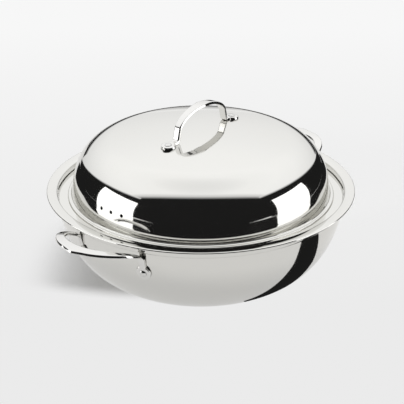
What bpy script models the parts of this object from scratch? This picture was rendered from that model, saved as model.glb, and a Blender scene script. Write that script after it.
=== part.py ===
"""A large stainless steel wok with a high domed lid, two riveted side handles and a riveted lid handle.

Metres, +Z up. The origin is the centre of the underside of the base. The side handles lie along X.
The lid sits on a narrow ledge inside the wok's mouth, below a flared lip.
"""

import math

import bmesh
import bpy
from mathutils import Matrix, Vector

# Wok: one drawn sheet
RIM_RADIUS = 0.178
RIM_HEIGHT = 0.108
SHEET = 0.0025
BASE_RADIUS = 0.073
LIP_WIDTH = 0.0125
LIP_CREST_SHARE = 0.72
LIP_BOW = 2.32
LEDGE_WIDTH = 0.003
LEDGE_DEPTH = 0.0097
LEDGE_FILLET = 0.0015
BELLY_REACH = 0.074
BELLY_RISE = 0.023

# Lid: one thinner sheet, crowned, with a stepped brim
LID_SHEET = 0.0012
LID_EDGE_PLAY = 0.0009
LID_HEIGHT = 0.0756
LID_BRIM_WIDTH = 0.0116
LID_HEEL_WIDTH = 0.0037
LID_STEP_WIDTH = 0.0035
LID_STEP = 0.0022
LID_BEND = 0.002
LID_FOOT_BEND = 0.0025
LID_LEAN = math.radians(9.5)
LID_SHOULDER = 0.053
LID_CROWN = 0.683
VENT_RADIUS = 0.002
VENT_HEIGHT = 0.024
VENT_STEP = math.radians(5.9)
VENT_COUNT = 3
VENT_AZIMUTH = math.radians(176.4)

# Side handles: a flat cast loop that climbs outward from two legs, each ending in a round pad
PAD_SPREAD = math.radians(15.7)
ARM_SPREAD = math.radians(15.0)
HANDLE_REACH = 0.0338
HANDLE_ROOT_DROP = 0.0162
HANDLE_GRIP_RISE = 0.0017
HANDLE_ARM_PULL = 0.032
HANDLE_GRIP_PULL = 0.0305
HANDLE_RISE_POWER = 3.1
HANDLE_ARM_WIDTH = 0.0074
HANDLE_GRIP_WIDTH = 0.0126
HANDLE_THICKNESS = 0.0034
HANDLE_POINT = 0.0024
PAD_RADIUS = 0.0085
PAD_DROP = 0.0205
LEG_LENGTH = 0.0146
ELBOW_PULL = 0.6

# Lid handle: an upright cast arch on two round feet that turn outward
ARCH_HEIGHT = 0.0328
ARCH_HALF_SPAN = 0.047
ARCH_BEND_HALF_SPAN = 0.0436
ARCH_BEND_HEIGHT = 0.0132
ARCH_SIDE_PULL = 0.0108
ARCH_TOP_PULL = 0.0188
ARCH_LEG_WIDTH = 0.0084
ARCH_GRIP_WIDTH = 0.0112
ARCH_THICKNESS = 0.0036
ARCH_POINT = 0.0018
FOOT_REACH = 0.0118
FOOT_RADIUS = 0.0084
FOOT_BEND = 0.0045

# Rivets: a domed head outside and a flat head inside
RIVET_SHANK = 0.0024
RIVET_HEAD = 0.0042
RIVET_HEAD_RISE = 0.0016
RIVET_TAIL = 0.0048
RIVET_TAIL_RISE = 0.0014
LID_RIVET_SHANK = 0.0017
LID_RIVET_HEAD = 0.004
LID_RIVET_HEAD_RISE = 0.0012
LID_RIVET_TAIL = 0.0036
LID_RIVET_TAIL_RISE = 0.001

# Lean of a cast handle's sides toward its outer face
DRAFT = math.radians(17)

# Clearance between neighbouring pieces, and how far a handle's back is let into the shape that trims it
CLEAR = 0.0003
BEDDING = 0.0007

# How far the shapes that cut holes and trim handles reach past what they cut
CUT_REACH = 0.01

# Fineness, and the power that gives a handle's section its rounded corners
SEGMENTS = 48
WALL_STEPS = 10
BEND_STEPS = 3
ROUND_STEPS = 10
ROUND_START = math.radians(16)
GRIP_STEPS = 14
GRIP_START = 1
ELBOW_STEPS = 5
ARCH_STEPS = 10
POINT_STEPS = 2
SECTION_POINTS = 12
SECTION_POWER = 7
RIVET_SEGMENTS = 12
SHARP_ANGLE = math.radians(35)

MOUTH_RADIUS = RIM_RADIUS - LIP_WIDTH
LIP_CREST_RADIUS = MOUTH_RADIUS + LIP_WIDTH * LIP_CREST_SHARE
LIP_ARC = LIP_WIDTH * LIP_BOW
LEDGE_TOP = RIM_HEIGHT - LEDGE_DEPTH
LID_SEAT = LEDGE_TOP + CLEAR
LID_TOP = LID_SEAT + LID_HEIGHT
LID_EDGE_RADIUS = MOUTH_RADIUS - LID_EDGE_PLAY
LID_STEP_RADIUS = LID_EDGE_RADIUS - LID_BRIM_WIDTH
LID_FOOT_RADIUS = LID_STEP_RADIUS - LID_HEEL_WIDTH
HANDLE_ROOT_HEIGHT = RIM_HEIGHT - HANDLE_ROOT_DROP
HANDLE_GRIP_HEIGHT = RIM_HEIGHT + HANDLE_GRIP_RISE
PAD_HEIGHT = HANDLE_ROOT_HEIGHT - PAD_DROP
FOOT_CENTRE = ARCH_HALF_SPAN + FOOT_REACH
FACET_DEPTH = MOUTH_RADIUS * (1 - math.cos(math.pi / SEGMENTS))
UP = Vector((0, 0, 1))


def clear_scene():
    """Removes what the scene holds."""
    for old in list(bpy.data.objects):
        bpy.data.objects.remove(old, do_unlink=True)


def steel(name, colour, roughness):
    """A polished steel material."""
    made = bpy.data.materials.new(name)
    made.use_nodes = True
    shader = made.node_tree.nodes["Principled BSDF"]
    shader.inputs["Base Color"].default_value = (*colour, 1.0)
    shader.inputs["Metallic"].default_value = 1.0
    shader.inputs["Roughness"].default_value = roughness
    return made


def finish_mesh(name, bm, material=None):
    """Turns a bmesh into a smooth-shaded mesh with the material."""
    mesh = bpy.data.meshes.new(name)
    bmesh.ops.recalc_face_normals(bm, faces=bm.faces)
    bm.to_mesh(mesh)
    bm.free()
    mesh.shade_smooth()
    mesh.set_sharp_from_angle(angle=SHARP_ANGLE)
    if material:
        mesh.materials.append(material)
    return mesh


def add_object(name, data, parent=None):
    """Links a mesh, or an empty when there is none, to the scene under its parent."""
    made = bpy.data.objects.new(name, data)
    made.parent = parent
    bpy.context.scene.collection.objects.link(made)
    return made


def add_cutter(name, bm):
    """A shape that only cuts others, drawn as wire and never rendered."""
    cutter = add_object(name, finish_mesh(name, bm))
    cutter.hide_render = True
    cutter.display_type = "WIRE"
    return cutter


def stand(made, seat, way):
    """Places an object made along Z so that it stands on the seat and points the given way."""
    made.location = seat
    made.rotation_euler = way.to_track_quat("Z", "Y").to_euler()
    return made


def cut(target, cutter):
    """Takes the cutter's shape out of the target."""
    boolean = target.modifiers.new("cut by " + cutter.name, "BOOLEAN")
    boolean.operation = "DIFFERENCE"
    boolean.object = cutter


def bezier(start, pull_start, pull_end, end, steps):
    """Points of a cubic curve, both ends included."""
    points = []
    for step in range(steps + 1):
        t = step / steps
        s = 1 - t
        points.append(s**3 * start + 3 * s * s * t * pull_start + 3 * s * t * t * pull_end + t**3 * end)
    return points


def arc(centre, radius, start, end, steps):
    """Points of an arc in a plane, both ends included."""
    points = []
    for step in range(steps + 1):
        angle = start + (end - start) * step / steps
        points.append(centre + radius * Vector((math.cos(angle), math.sin(angle))))
    return points


def bend(before, corner, after, radius, steps):
    """The arc that rounds the corner between two straight lines in a plane."""
    back = (before - corner).normalized()
    forward = (after - corner).normalized()
    half = back.angle(forward) / 2
    centre = corner + (back + forward).normalized() * radius / math.sin(half)
    first = corner + back * radius / math.tan(half) - centre
    last = corner + forward * radius / math.tan(half) - centre
    start = math.atan2(first.y, first.x)
    sweep = math.atan2(first.x * last.y - first.y * last.x, first.dot(last))
    return arc(centre, radius, start, start + sweep, steps)


def offset(line, distance):
    """A plane line moved to the right of its direction of travel."""
    moved = []
    for index, point in enumerate(line):
        before = line[max(index - 1, 0)]
        after = line[min(index + 1, len(line) - 1)]
        along = (after - before).normalized()
        moved.append(point + Vector((along.y, -along.x)) * distance)
    return moved


def sheet_outline(line, thickness, end_steps):
    """Closed outline of a sheet of even thickness along its middle line, from the axis to a rounded edge."""
    half = thickness / 2
    under = offset(line, half)
    over = offset(line, -half)
    under[0].x = 0.0
    over[0].x = 0.0
    last = line[-1] - line[-2]
    heading = math.atan2(last.y, last.x)
    rounding = arc(line[-1], half, heading - math.pi / 2, heading + math.pi / 2, end_steps)
    return under[:-1] + rounding + over[-2::-1]


def turned(outline, segments):
    """Mesh of an outline turned about Z. Its first and last points are on the axis."""
    bm = bmesh.new()
    verts = [bm.verts.new((point.x, 0.0, point.y)) for point in outline]
    edges = [bm.edges.new(pair) for pair in zip(verts, verts[1:])]
    bmesh.ops.spin(
        bm, geom=verts + edges, cent=(0, 0, 0), axis=(0, 0, 1), angle=2 * math.pi, steps=segments, use_merge=True
    )
    bmesh.ops.remove_doubles(bm, verts=bm.verts, dist=1e-6)
    return bm


def wall_line():
    """Middle of the wok's wall, from the edge of the flat base up to just below the ledge."""
    start = Vector((BASE_RADIUS, SHEET / 2))
    end = Vector((MOUTH_RADIUS + SHEET / 2 - LEDGE_WIDTH, LEDGE_TOP - SHEET / 2 - LEDGE_FILLET))
    return bezier(start, start + Vector((BELLY_REACH, 0)), end - Vector((0, BELLY_RISE)), end, WALL_STEPS)


def body_line():
    """Middle of the wok's sheet, from the centre of the base to the edge of the lip."""
    half = SHEET / 2
    wall = wall_line()
    step_radius = MOUTH_RADIUS + half
    inner_corner = Vector((wall[-1].x, LEDGE_TOP - half))
    outer_corner = Vector((step_radius, LEDGE_TOP - half))
    inner = bend(wall[-1], inner_corner, outer_corner, LEDGE_FILLET, BEND_STEPS)
    outer = bend(inner_corner, outer_corner, outer_corner + Vector((0, SHEET)), LEDGE_FILLET, BEND_STEPS)
    lip_centre = Vector((LIP_CREST_RADIUS, RIM_HEIGHT - half - LIP_ARC))
    aside = step_radius + LEDGE_FILLET - LIP_CREST_RADIUS
    above = math.sqrt((LIP_ARC - LEDGE_FILLET) ** 2 - aside**2)
    meeting = math.atan2(above, aside)
    edge = math.acos((RIM_RADIUS - half - LIP_CREST_RADIUS) / LIP_ARC)
    shoulder = arc(lip_centre + Vector((aside, above)), LEDGE_FILLET, math.pi, meeting, BEND_STEPS)
    lip = arc(lip_centre, LIP_ARC, meeting, edge, BEND_STEPS + 1)
    return [Vector((0, half))] + wall[:-1] + inner + outer[1:] + shoulder + lip[1:]


def lid_line():
    """Middle of the lid's sheet, from the top of the crown to the edge of the brim."""
    half = LID_SHEET / 2
    brim = LID_SEAT + half
    foot = Vector((LID_FOOT_RADIUS, brim + LID_STEP))
    rise = Vector((-math.sin(LID_LEAN), math.cos(LID_LEAN)))
    inward = Vector((-math.cos(LID_LEAN), -math.sin(LID_LEAN)))
    shoulder = LID_SHOULDER - half
    crown = LID_CROWN - half
    crown_centre = Vector((0, LID_TOP - LID_CROWN))
    start = foot + inward * shoulder - crown_centre
    climb = -start.dot(rise) + math.sqrt(start.dot(rise) ** 2 - start.dot(start) + (crown - shoulder) ** 2)
    shoulder_centre = crown_centre + start + rise * climb
    meeting = math.atan2(shoulder_centre.y - crown_centre.y, shoulder_centre.x)
    top = arc(crown_centre, crown, math.pi / 2, meeting, BEND_STEPS + 1)
    side = arc(shoulder_centre, shoulder, meeting, LID_LEAN, 2 * BEND_STEPS)
    step_top = Vector((LID_STEP_RADIUS, brim + LID_STEP))
    step_foot = Vector((LID_STEP_RADIUS + LID_STEP_WIDTH, brim))
    edge = Vector((LID_EDGE_RADIUS - half, brim))
    heel = bend(side[-1], foot, step_top, LID_FOOT_BEND, BEND_STEPS)
    upper = bend(foot, step_top, step_foot, LID_BEND, BEND_STEPS - 1)
    lower = bend(step_top, step_foot, edge, LID_BEND, BEND_STEPS - 1)
    return top + side[1:] + heel + upper + lower + [edge]


def wall_at(height):
    """Radius of the wok's outside at a height, and the lean of the wall there."""
    points = offset(wall_line(), SHEET / 2)
    for low, high in zip(points, points[1:]):
        if low.y <= height <= high.y:
            share = (height - low.y) / (high.y - low.y)
            return low.x + (high.x - low.x) * share, math.atan2(high.x - low.x, high.y - low.y)
    raise ValueError("that height is off the wok's wall")


def crown_height(radius):
    """Height of the outside of the lid's crown at a radius."""
    return LID_TOP - LID_CROWN + math.sqrt(LID_CROWN**2 - radius**2)


def trimming_shape(name, outside, bottom):
    """A solid inside a turned surface moved out by the clearance, which trims what stands on that surface."""
    moved = offset(outside, CLEAR)
    top = [Vector((0, moved[-1].y))] if moved[-1].x > CLEAR else []
    moved[-1].x = moved[-1].x if top else 0.0
    outline = [Vector((0, bottom)), Vector((moved[0].x, bottom))] + moved + top
    return add_cutter(name, turned(outline, SEGMENTS))


def strap(stations):
    """Mesh swept through stations: a centre, sideways and upward vectors that hold its half sizes, and a facing.

    Facing 1 leans the sides in toward the upward face, -1 toward the face below it.
    """
    bm = bmesh.new()
    rings = []
    for centre, aside, up, facing in stations:
        lean = facing * math.tan(DRAFT) * up.length / aside.length
        ring = []
        for index in range(SECTION_POINTS):
            angle = 2 * math.pi * (index + 0.5) / SECTION_POINTS
            c, s = math.cos(angle), math.sin(angle)
            x = math.copysign(abs(c) ** (2 / SECTION_POWER), c)
            y = math.copysign(abs(s) ** (2 / SECTION_POWER), s)
            ring.append(bm.verts.new(centre + aside * x * (1 - lean * y) + up * y))
        rings.append(ring)
    for one, two in zip(rings, rings[1:]):
        for index in range(SECTION_POINTS):
            follow = (index + 1) % SECTION_POINTS
            bm.faces.new((one[index], one[follow], two[follow], two[index]))
    bm.faces.new(rings[0])
    bm.faces.new(rings[-1])
    return bm


def disc_steps(radius, neck):
    """Distances along a round end and its half widths, from near the tip to where it meets the neck."""
    finish = math.pi - math.asin(min(1.0, neck / radius))
    angles = [ROUND_START + (finish - ROUND_START) * step / ROUND_STEPS for step in range(ROUND_STEPS + 1)]
    return [(-radius * math.cos(angle), radius * math.sin(angle)) for angle in angles]


def pad_frame(side):
    """Point on the wok's wall under a pad's centre, the way up the wall there and the way out of it."""
    radius, lean = wall_at(PAD_HEIGHT)
    level = Vector((math.cos(PAD_SPREAD), side * math.sin(PAD_SPREAD), 0))
    up_wall = level * math.sin(lean) + UP * math.cos(lean)
    out = level * math.cos(lean) - UP * math.sin(lean)
    return level * radius + UP * PAD_HEIGHT, up_wall, out


def side_handle_half():
    """Half of a side handle that points along +X: centre, level heading, half width and facing, pad to mid grip."""
    seat, up_wall, out = pad_frame(1)
    leg_way = Vector((math.cos(PAD_SPREAD), math.sin(PAD_SPREAD), 0))
    neck = HANDLE_ARM_WIDTH / 2
    line = seat + out * (CLEAR + HANDLE_THICKNESS / 2 - BEDDING)
    leg = [(line + up_wall * along, leg_way, width, -1) for along, width in disc_steps(PAD_RADIUS, neck)]
    leg_top = line + up_wall * LEG_LENGTH

    arm_way = Vector((math.cos(ARM_SPREAD), math.sin(ARM_SPREAD), 0))
    root = arm_way * wall_at(HANDLE_ROOT_HEIGHT)[0]
    crest = Vector((RIM_RADIUS + HANDLE_REACH, 0, 0))
    grip_pull = crest + Vector((0, HANDLE_GRIP_PULL, 0))
    plan = bezier(root, root + arm_way * HANDLE_ARM_PULL, grip_pull, crest, GRIP_STEPS)
    plan.append(Vector((plan[-2].x, -plan[-2].y, 0)))
    grip = []
    for index in range(GRIP_START, GRIP_STEPS + 1):
        t = index / GRIP_STEPS
        climb = (HANDLE_GRIP_HEIGHT - HANDLE_ROOT_HEIGHT) * (1 - (1 - t) ** HANDLE_RISE_POWER)
        height = HANDLE_ROOT_HEIGHT - HANDLE_THICKNESS / 2 + climb
        heading = (plan[index + 1] - plan[index - 1]).normalized()
        width = HANDLE_ARM_WIDTH + (HANDLE_GRIP_WIDTH - HANDLE_ARM_WIDTH) * t
        grip.append((plan[index] + UP * height, heading, width / 2, 1))

    first, second = grip[0][0], grip[1][0]
    pull = (first - leg_top).length * ELBOW_PULL
    arriving = (second - first).normalized()
    elbow = []
    turn = bezier(leg_top, leg_top + up_wall * pull, first - arriving * pull, first, ELBOW_STEPS)
    for index, point in enumerate(turn[:-1]):
        elbow.append((point, leg_way, neck, 2 * index / ELBOW_STEPS - 1))
    return leg + elbow + grip


def side_handle_mesh():
    """Mesh of a side handle that points along +X. Its outer edge comes to a soft point at mid grip."""
    half = side_handle_half()
    middle = len(half) - 1
    mirrored = []
    for centre, heading, width, facing in half[-2::-1]:
        mirrored.append((Vector((centre.x, -centre.y, centre.z)), Vector((-heading.x, heading.y, 0)), width, facing))
    whole = half + mirrored
    stations = []
    for index, (centre, heading, width, facing) in enumerate(whole):
        before = whole[max(index - 1, 0)][0]
        after = whole[min(index + 1, len(whole) - 1)][0]
        aside = Vector((heading.y, -heading.x, 0))
        up = aside.cross(after - before).normalized()
        point = HANDLE_POINT / 2 * max(0.0, 1 - abs(index - middle) / POINT_STEPS)
        stations.append((centre - aside * point, aside * (width + point), up * HANDLE_THICKNESS / 2, facing))
    return strap(stations)


def arch_mesh():
    """Mesh of the lid's arch and its two feet, in the XZ plane."""
    half_thick = ARCH_THICKNESS / 2
    rest = CLEAR + half_thick - BEDDING
    base = Vector((ARCH_HALF_SPAN - half_thick, crown_height(ARCH_HALF_SPAN) + rest))
    knee = Vector((ARCH_BEND_HALF_SPAN - half_thick, base.y + ARCH_BEND_HEIGHT))
    top = Vector((0, LID_TOP + ARCH_HEIGHT - half_thick))
    foot = []
    for along, width in disc_steps(FOOT_RADIUS, ARCH_LEG_WIDTH / 2):
        reach = FOOT_CENTRE - along
        foot.append((Vector((reach, crown_height(reach) + rest)), width))
    heel = bend(foot[-1][0], base, knee, FOOT_BEND, BEND_STEPS + 1)
    leg_way = (knee - base).normalized()
    pull = top + Vector((ARCH_TOP_PULL, 0))
    crown = bezier(knee, knee + leg_way * ARCH_SIDE_PULL, pull, top, ARCH_STEPS)
    half = foot + [(point, ARCH_LEG_WIDTH / 2) for point in heel]
    for step, point in enumerate(crown):
        share = step / ARCH_STEPS
        half.append((point, (ARCH_LEG_WIDTH + (ARCH_GRIP_WIDTH - ARCH_LEG_WIDTH) * share) / 2))
    middle = len(half) - 1
    whole = half + [(Vector((-point.x, point.y)), width) for point, width in half[-2::-1]]
    stations = []
    for index, (point, width) in enumerate(whole):
        before = whole[max(index - 1, 0)][0]
        after = whole[min(index + 1, len(whole) - 1)][0]
        along = (after - before).normalized()
        up = Vector((along.y, 0, -along.x))
        width += ARCH_POINT / 2 * max(0.0, 1 - abs(index - middle) / POINT_STEPS)
        stations.append((Vector((point.x, 0, point.y)), Vector((0, width, 0)), up * half_thick, 1))
    return strap(stations)


def rivet_mesh(shank, head, head_rise, tail, tail_rise, stack):
    """Mesh of a rivet along Z. Its head rests on the plane z = 0 and its tail on the far side of the stack.

    The tail also keeps clear of the flats that a turned sheet has between its corners.
    """
    low = -stack - CLEAR - FACET_DEPTH
    dome_radius = (head**2 + head_rise**2) / (2 * head_rise)
    lean = math.asin(head / dome_radius)
    dome_centre = Vector((0, CLEAR + head_rise - dome_radius))
    dome = arc(dome_centre, dome_radius, math.pi / 2 - lean, math.pi / 2, BEND_STEPS)
    tail_edge = [(0, low - tail_rise), (tail - tail_rise / 2, low - tail_rise), (tail, low - tail_rise / 2)]
    shaft = [(tail, low), (shank, low), (shank, CLEAR)]
    return turned([Vector(point) for point in tail_edge + shaft] + dome, RIVET_SEGMENTS)


def hole_cutter(name, radius, seat, way):
    """A cylinder through the seat, for a round hole."""
    bm = bmesh.new()
    bmesh.ops.create_cone(
        bm, cap_ends=True, segments=RIVET_SEGMENTS, radius1=radius, radius2=radius, depth=2 * CUT_REACH
    )
    return stand(add_cutter(name, bm), seat, way)


def add_side_handles(wok, body, material, rivet_material):
    """Both side handles with their rivets, and the rivets' holes in the wok."""
    wall_shape = trimming_shape("wall_trim", offset(wall_line(), SHEET / 2), -CUT_REACH)
    handle_mesh = finish_mesh("side_handle", side_handle_mesh(), material)
    pad_face = CLEAR + HANDLE_THICKNESS - BEDDING
    rivet_shape = rivet_mesh(RIVET_SHANK, RIVET_HEAD, RIVET_HEAD_RISE, RIVET_TAIL, RIVET_TAIL_RISE, pad_face + SHEET)
    rivet = finish_mesh("handle_rivet", rivet_shape, rivet_material)
    for label, turn in (("right", 0.0), ("left", math.pi)):
        handle = add_object("side_handle_" + label, handle_mesh, wok)
        handle.rotation_euler.z = turn
        cut(handle, wall_shape)
        for side, end in ((1, "a"), (-1, "b")):
            spin = Matrix.Rotation(turn, 3, "Z")
            seat, _, out = (spin @ vector for vector in pad_frame(side))
            hole = hole_cutter(f"{label}_{end}_hole", RIVET_SHANK + CLEAR, seat, out)
            cut(handle, hole)
            cut(body, hole)
            stand(add_object(f"handle_rivet_{label}_{end}", rivet, wok), seat + out * pad_face, out)


def add_lid_handle(lid, shell, material, rivet_material):
    """The arch on the lid with its rivets, and the rivets' holes in the lid."""
    crown_centre = Vector((0, LID_TOP - LID_CROWN))
    far = math.acos((FOOT_CENTRE + FOOT_RADIUS + CUT_REACH) / LID_CROWN)
    outside = arc(crown_centre, LID_CROWN, far, math.pi / 2, 2 * BEND_STEPS)
    crown_shape = trimming_shape("crown_trim", outside, LID_TOP - LID_SHOULDER)
    arch = add_object("lid_handle", finish_mesh("lid_handle", arch_mesh(), material), lid)
    cut(arch, crown_shape)
    foot_face = CLEAR + ARCH_THICKNESS - BEDDING
    head, tail = (LID_RIVET_HEAD, LID_RIVET_HEAD_RISE), (LID_RIVET_TAIL, LID_RIVET_TAIL_RISE)
    rivet_shape = rivet_mesh(LID_RIVET_SHANK, *head, *tail, foot_face + LID_SHEET)
    rivet = finish_mesh("lid_rivet", rivet_shape, rivet_material)
    for side, end in ((-1, "left"), (1, "right")):
        seat = Vector((side * FOOT_CENTRE, 0, crown_height(FOOT_CENTRE)))
        out = (seat - UP * crown_centre.y).normalized()
        hole = hole_cutter(f"lid_{end}_hole", LID_RIVET_SHANK + CLEAR, seat, out)
        cut(arch, hole)
        cut(shell, hole)
        stand(add_object("lid_rivet_" + end, rivet, lid), seat + out * foot_face, out)


def add_vents(shell):
    """The row of small round steam holes through the lid's wall."""
    for number in range(VENT_COUNT):
        azimuth = VENT_AZIMUTH + (number - (VENT_COUNT - 1) / 2) * VENT_STEP
        way = Vector((math.cos(azimuth), math.sin(azimuth), 0))
        seat = way * LID_FOOT_RADIUS + UP * (LID_SEAT + VENT_HEIGHT)
        cut(shell, hole_cutter(f"vent_{number + 1}", VENT_RADIUS, seat, way))


def make_part():
    """Builds every piece. The lid's pieces hang from an empty on the axis that the lid lifts along."""
    clear_scene()
    sheet_steel = steel("polished steel sheet", (0.72, 0.72, 0.70), 0.08)
    cast_steel = steel("polished cast steel", (0.74, 0.74, 0.73), 0.12)
    rivet_steel = steel("rivet steel", (0.70, 0.70, 0.69), 0.2)
    wok = add_object("wok", None)
    lid = add_object("lid", None)
    body_outline = sheet_outline(body_line(), SHEET, BEND_STEPS + 1)
    shell_outline = sheet_outline(lid_line(), LID_SHEET, BEND_STEPS - 1)
    body = add_object("wok_body", finish_mesh("wok_body", turned(body_outline, SEGMENTS), sheet_steel), wok)
    shell = add_object("lid_shell", finish_mesh("lid_shell", turned(shell_outline, SEGMENTS), sheet_steel), lid)
    add_vents(shell)
    add_side_handles(wok, body, cast_steel, rivet_steel)
    add_lid_handle(lid, shell, cast_steel, rivet_steel)


make_part()
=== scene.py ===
"""The looks of a large lidded wok: polished steel sheets, cast handles, rivets and a plain studio.

Metres, +Z up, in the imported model's own frame. Every piece is made from the sizes in the property groups.
"""

import math

import bmesh
import bpy
from mathutils import Matrix, Vector


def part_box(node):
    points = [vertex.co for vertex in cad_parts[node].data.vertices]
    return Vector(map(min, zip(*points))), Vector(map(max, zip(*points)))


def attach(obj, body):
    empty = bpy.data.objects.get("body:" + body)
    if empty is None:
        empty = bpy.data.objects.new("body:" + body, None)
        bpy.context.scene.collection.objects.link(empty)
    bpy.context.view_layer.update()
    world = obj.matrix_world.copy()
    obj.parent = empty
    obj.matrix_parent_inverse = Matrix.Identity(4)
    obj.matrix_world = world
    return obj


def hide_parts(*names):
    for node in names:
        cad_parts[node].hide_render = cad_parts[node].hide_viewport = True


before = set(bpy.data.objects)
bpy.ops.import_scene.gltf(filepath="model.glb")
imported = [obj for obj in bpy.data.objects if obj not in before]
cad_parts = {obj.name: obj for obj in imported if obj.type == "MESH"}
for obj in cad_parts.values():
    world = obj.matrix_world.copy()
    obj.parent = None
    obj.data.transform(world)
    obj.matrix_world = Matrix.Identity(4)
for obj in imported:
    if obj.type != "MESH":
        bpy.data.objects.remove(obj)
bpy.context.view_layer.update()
BODY_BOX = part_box("wok_body")

bl_info = {
    "name": "Lidded Wok",
    "version": (1, 0, 0),
    "blender": (4, 5, 0),
    "location": "3D View > Sidebar > Wok",
    "description": "Builds a lidded wok of polished steel and the studio it stands in",
    "category": "Object",
}

UP = Vector((0, 0, 1))

# Fineness of the meshes
TURN_STEPS = 192
WALL_STEPS = 80
CROWN_STEPS = 24
SHOULDER_STEPS = 64
BEND_STEPS = 10
EDGE_STEPS = 8
GRIP_STEPS = 56
ELBOW_STEPS = 12
ARCH_STEPS = 48
ROUND_STEPS = 20
RIVET_STEPS = 48
DOME_STEPS = 10
HOLE_STEPS = 40
SECTION_STEPS = 32
SHARP_ANGLE = math.radians(38)

# Shape of the cast straps: how square their section is, how steeply the soft point rises, which part of
# a half it takes up, and where a round end starts
SECTION_POWER = 7.0
POINT_POWER = 1.5
GRIP_POINT_SHARE = 1 / 7
ARCH_POINT_SHARE = 1 / 5
DISC_TIP = math.radians(5)

# Reach of the shapes that cut and trim past the piece
CUT_REACH = 0.01

# How far each side handle is turned round the axis
SIDES = {"right": 0.0, "left": math.pi}

# Least upward part of a face's normal where the face is part of the bottom
BOTTOM_RISE = 0.5

# How much the fine lines in the sheets change on their way round, and the roughness and shade of the
# brushed inside
LINE_DRIFT = 1.6
SATIN_ROUGHNESS = 0.24
SATIN_SHADE = 0.9

# The stage, in metres. Places are right of the wok and toward the camera, as the camera sees them.
# The floor's brightness goes from its near to its far value between two distances toward the camera.
FLOOR_RADIUS = 6.0
FLOOR_STEPS = 96
GLOW_NEAR = 0.1
GLOW_FAR = -1.0
KEY_SIZE = 0.9
KEY_PLACE = (0.15, -0.1, 1.5)
SENSOR_WIDTH = 36.0
CLIP_RANGE = (0.05, 60.0)

# Edges of the shadow that the camera sees: parts of right and toward, where it is gone and where it is whole
SHADOW_EDGES = (
    (-0.2, 1.0, 0.105, 0.07),
    (0.0, 1.0, -0.5, -0.1),
    (1.0, 0.0, -0.23, -0.115),
    (1.0, 1.2, 0.07, -0.02),
)

# Brightness of the sky by the height of the view, how much less it is toward the camera, and the part
# of it that the soft edges of the dark cards reach
SKY_TONES = (
    (0, 0.68), (0.14, 0.76), (0.3, 0.85), (0.42, 0.9),
    (0.55, 0.96), (0.75, 1.0), (0.9, 0.98), (1, 0.87),
)
SKY_SLOPE = 0.05
CARD_EDGE = 0.75

# Upright cards: the tops of their edges, and heights as parts of those tops with a tone each
CARD_ROWS = ((0, 0), (0.9, 0), (1, 1))
UPRIGHT_CARDS = {
    "front_card": (((-3, 0.85, 1), (3, 0.85, 1)), ((0, 0), (1.24, 0), (1.6, 0.75), (2.1, 1))),
    "right_card": (
        ((1, 0.62, 1.02), (1, -0.19, 0.71), (1, -0.6, 0.55), (1, -1.4, 0.24), (1, -2.05, 0)),
        CARD_ROWS,
    ),
    "left_card": (
        ((-1, 0.62, 0.93), (-1, -0.07, 0.635), (-1, -0.6, 0.41), (-1, -1.2, 0.15), (-1, -1.55, 0)),
        CARD_ROWS,
    ),
    "back_card": (((-1.6, -2.5, 1), (1.6, -2.5, 1)), ((0, 0), (0.2, 0), (0.45, 1))),
}
BOX_ROWS = ((0, 0), (0.97, 0), (1, 1))
SOFTBOXES = {
    "right_softbox": (((0.92, 0.45, 0.57), (0.94, -0.19, 0.475)), BOX_ROWS),
    "left_softbox": (((-0.855, 0.59, 0.57), (-0.98, -0.07, 0.5)), BOX_ROWS),
}

# Cards on the floor. The strip lies between two lines of places. Each other one has rows of distances
# from the foot of the lid with a tone each, and the directions in degrees in which that foot mirrors them.
FLOOR_LIFT = 0.0006
MIRROR_RADIUS = 0.147
STRIP = (
    ((0.05, 0.065), (0.16, 0.042), (0.28, 0.045), (0.6, 0.05)),
    ((0.05, 0.105), (0.16, 0.11), (0.28, 0.132), (0.6, 0.2)),
)
APRON = (((0.27, 0), (0.62, 0), (0.94, 0)), (-59, -45, -30, -15, 0, 15, 30, 45, 55, 68))
BACK_FLOOR = (((1.1, 1), (1.5, 0), (2.3, 0)), (150, 165, 180, 195, 210))
MAT_ROWS = ((0.3, 1), (0.42, 0), (0.87, 0))
MATS = {"left_mat": (MAT_ROWS, (-59, -73, -87, -101)), "right_mat": (MAT_ROWS, (68, 82, 95, 109))}

# The floor cards beside the wok: where they start, and directions with the distance of their far edge
FLANK_START = 0.43
FLANKS = {
    "left_floor": ((-101, 0.88), (-110, 0.92), (-120, 1), (-130, 1.14), (-140, 1.34), (-146, 1.5), (-152, 1)),
    "right_floor": ((109, 0.87), (118, 0.95), (127, 1.06), (136, 1.22), (145, 1.5), (153, 1.9), (160, 0.8)),
}


def length(name, description, default):
    """A size in metres."""
    return bpy.props.FloatProperty(
        name=name, description=description, default=default, unit="LENGTH", precision=5, min=0.0
    )


def angle(name, description, degrees):
    """An angle, kept in radians."""
    return bpy.props.FloatProperty(
        name=name, description=description, default=math.radians(degrees), unit="ROTATION"
    )


def share(name, description, default):
    """A ratio or strength without a unit."""
    return bpy.props.FloatProperty(name=name, description=description, default=default, precision=4)


def colour(name, description, default):
    """A linear colour."""
    return bpy.props.FloatVectorProperty(
        name=name, description=description, default=default, subtype="COLOR", size=3, min=0.0, max=1.0
    )


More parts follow.
